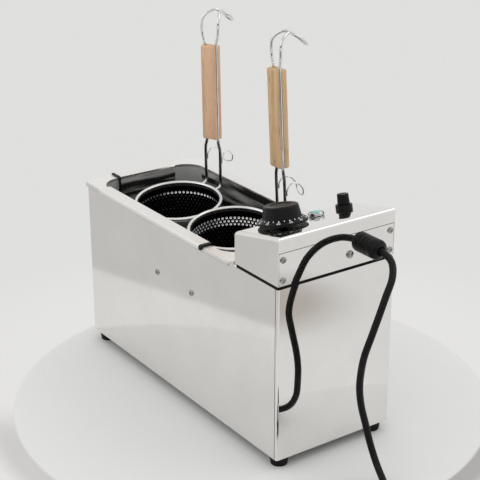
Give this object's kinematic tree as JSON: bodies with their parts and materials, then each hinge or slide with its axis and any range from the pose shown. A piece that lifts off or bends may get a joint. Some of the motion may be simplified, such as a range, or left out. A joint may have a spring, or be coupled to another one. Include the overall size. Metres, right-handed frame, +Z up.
{
  "type": "pasta cooker",
  "caption": "Counter-top electric pasta cooker: polished steel casing, lift-out tank, lift-off control head with heating element, and perforated baskets with wooden handles.",
  "frame": {"origin": "on the worktop, under the middle of the casing", "axes": "+Z up, +X along the tank towards the control head, -Y towards the long front side"},
  "size_m": [0.6385, 0.2612, 0.484],
  "materials": {
    "polished_steel": "mirror polished, slightly wavy",
    "tank_steel": "bright drawn sheet, dull inside",
    "cup_steel": "satin perforated sheet",
    "wire_steel": "bright drawn wire",
    "fastener_steel": "bright",
    "element_steel": "dull sheath tube",
    "bulb_copper": "dull copper",
    "bezel_chrome": "bright plated",
    "lens_green": "clear green",
    "black_plastic": "satin black",
    "cream_plastic": "plain",
    "fuse_glass": "clear",
    "foot_rubber": "dull black",
    "cord_rubber": "smooth black",
    "pin_brass": "nickel plated",
    "beech": "bare turned beech"
  },
  "bodies": {
    "casing": {"casing_wrap": "polished_steel", "end_panel": "polished_steel", "base_plate": "polished_steel", "head_shelf": "polished_steel", "tank_guide_front": "polished_steel", "tank_guide_rear": "polished_steel", "side_screws": "fastener_steel", "foot_1": "foot_rubber", "foot_2": "foot_rubber", "foot_3": "foot_rubber", "foot_4": "foot_rubber", "foot_screws": "fastener_steel"},
    "tank": {"tank": "tank_steel"},
    "head": {"head_cover": "polished_steel", "head_end_plate": "polished_steel", "head_base": "polished_steel", "head_gasket": "foot_rubber", "end_screws": "fastener_steel", "earth_terminal": "fastener_steel", "heating_element": "element_steel", "element_collars": "fastener_steel", "thermostat": "black_plastic", "thermostat_bulb": "bulb_copper", "lamp_body": "black_plastic", "lamp_bezel": "bezel_chrome", "lamp_lens": "lens_green", "fuse_holder": "black_plastic", "terminal_block": "cream_plastic", "gland_body": "black_plastic", "gland_cap": "black_plastic", "gland_nut": "black_plastic", "power_cord": "cord_rubber", "cord_coil": "cord_rubber", "cord_tie": "cord_rubber", "plug_body": "cord_rubber", "plug_pins": "pin_brass"},
    "dial": {"dial_shaft": "fastener_steel", "dial_knob": "black_plastic"},
    "fuse": {"fuse_cap": "black_plastic", "fuse_link": "fuse_glass"},
    "rack": {"rack_floor": "polished_steel", "rack_front": "polished_steel", "rack_rear": "polished_steel", "rack_end": "polished_steel"},
    "basket_1": {"basket_cup_1": "cup_steel", "basket_rim_1": "wire_steel", "basket_wire_1": "wire_steel", "basket_grip_1": "beech", "basket_pot_hook_1": "wire_steel"},
    "basket_2": {"basket_cup_2": "cup_steel", "basket_rim_2": "wire_steel", "basket_wire_2": "wire_steel", "basket_grip_2": "beech", "basket_pot_hook_2": "wire_steel"}
  },
  "joints": [
    {"name": "tank_lift", "type": "slide", "parent": "casing", "child": "tank", "axis": [0, 0, 1], "range_m": [0, 0.205]},
    {"name": "head_lift", "type": "slide", "parent": "tank", "child": "head", "axis": [0, 0, 1], "range_m": [0, 0.19]},
    {"name": "rack_lift", "type": "slide", "parent": "head", "child": "rack", "axis": [0, 0, 1], "range_m": [0, 0.165]},
    {"name": "basket_1_lift", "type": "slide", "parent": "rack", "child": "basket_1", "axis": [0, 0, 1], "range_m": [0, 0.16]},
    {"name": "basket_2_lift", "type": "slide", "parent": "rack", "child": "basket_2", "axis": [0, 0, 1], "range_m": [0, 0.16]},
    {"name": "dial_turn", "type": "hinge", "parent": "head", "child": "dial", "pos_m": [0.164, -0.03602, 0.29039], "axis": [0.2164, 0, -0.9763], "range_deg": [0, 270]},
    {"name": "fuse_turn", "type": "hinge", "parent": "head", "child": "fuse", "pos_m": [0.164, 0.05707, 0.29039], "axis": [-0.2164, 0, 0.9763], "range_deg": [0, 60]}
  ]
}
